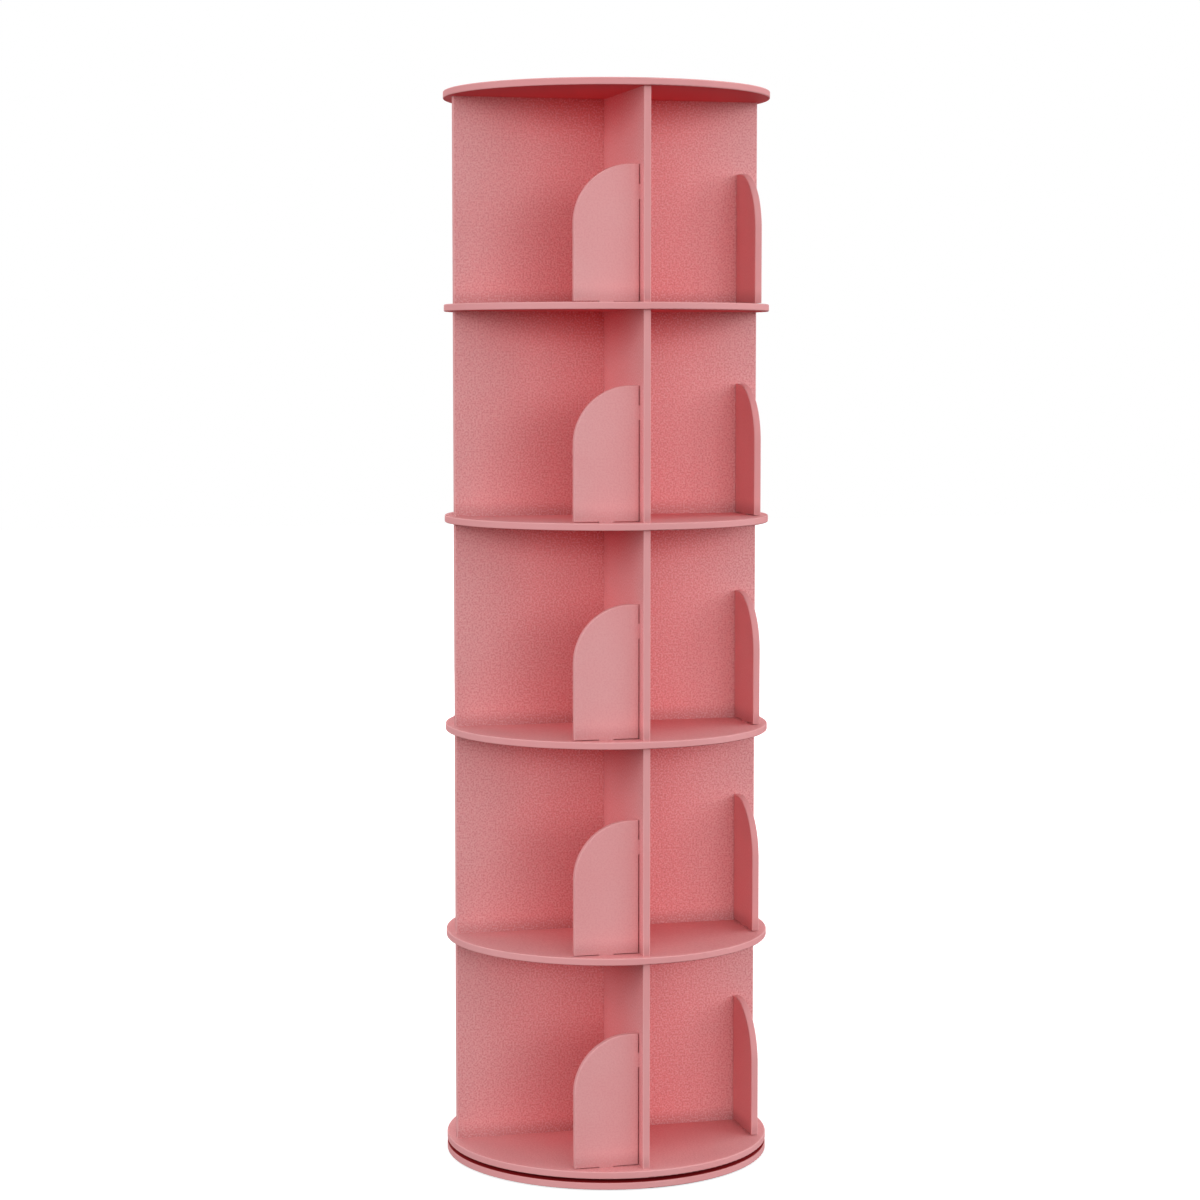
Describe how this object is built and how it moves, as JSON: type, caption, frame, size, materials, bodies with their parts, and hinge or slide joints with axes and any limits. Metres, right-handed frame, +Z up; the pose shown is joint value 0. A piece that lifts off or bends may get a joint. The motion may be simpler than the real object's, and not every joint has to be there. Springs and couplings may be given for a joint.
{
  "type": "revolving bookcase",
  "caption": "Tall round revolving bookcase: disc shelves on crossed dividers with arched book stops, turning on a flat ball turntable above a round base",
  "frame": {"origin": "middle of the base on the floor", "axes": "+Z up along the turning axis; the dividers run along X and Y"},
  "size_m": [0.46, 0.46, 1.5121],
  "materials": {
    "coated_board": "pink satin coating with a fine pebbled grain",
    "turntable_steel": "pressed and galvanised",
    "zinc_screws": "bright zinc plate",
    "bearing_balls": "polished, greased",
    "rubber_pads": "matt",
    "cap_plastic": "pink, matt"
  },
  "bodies": {
    "base": {"base_plate": "coated_board", "floor_pads": "rubber_pads", "bearing_lower_plate": "turntable_steel", "lower_plate_screws": "zinc_screws", "pivot_rivet": "zinc_screws"},
    "carousel": {"bearing_upper_plate": "turntable_steel", "upper_plate_screws": "zinc_screws", "bottom_disc_screws": "zinc_screws", "disc_screws": "zinc_screws", "screw_caps": "cap_plastic", "bottom_disc": "coated_board", "shelf_disc_1": "coated_board", "shelf_disc_2": "coated_board", "shelf_disc_3": "coated_board", "shelf_disc_4": "coated_board", "top_disc": "coated_board", "tier_1_divider_left_right": "coated_board", "tier_1_divider_front_back": "coated_board", "tier_2_divider_left_right": "coated_board", "tier_2_divider_front_back": "coated_board", "tier_3_divider_left_right": "coated_board", "tier_3_divider_front_back": "coated_board", "tier_4_divider_left_right": "coated_board", "tier_4_divider_front_back": "coated_board", "tier_5_divider_left_right": "coated_board", "tier_5_divider_front_back": "coated_board", "tier_1_stop_right": "coated_board", "tier_1_stop_back": "coated_board", "tier_1_stop_left": "coated_board", "tier_1_stop_front": "coated_board", "tier_2_stop_right": "coated_board", "tier_2_stop_back": "coated_board", "tier_2_stop_left": "coated_board", "tier_2_stop_front": "coated_board", "tier_3_stop_right": "coated_board", "tier_3_stop_back": "coated_board", "tier_3_stop_left": "coated_board", "tier_3_stop_front": "coated_board", "tier_4_stop_right": "coated_board", "tier_4_stop_back": "coated_board", "tier_4_stop_left": "coated_board", "tier_4_stop_front": "coated_board", "tier_5_stop_right": "coated_board", "tier_5_stop_back": "coated_board", "tier_5_stop_left": "coated_board", "tier_5_stop_front": "coated_board"},
    "ball_ring": {"ball_retainer": "turntable_steel", "bearing_balls": "bearing_balls"}
  },
  "joints": [
    {"name": "carousel_turn", "type": "hinge", "parent": "base", "child": "carousel", "pos_m": [0, 0, 0.01455], "axis": [0, 0, 1], "continuous": true},
    {"name": "ball_ring_turn", "type": "hinge", "parent": "base", "child": "ball_ring", "pos_m": [0, 0, 0.01455], "axis": [0, 0, 1], "continuous": true}
  ],
  "couplings": [
    {"joint": "ball_ring_turn", "follows": "carousel_turn", "ratio": 0.5}
  ]
}
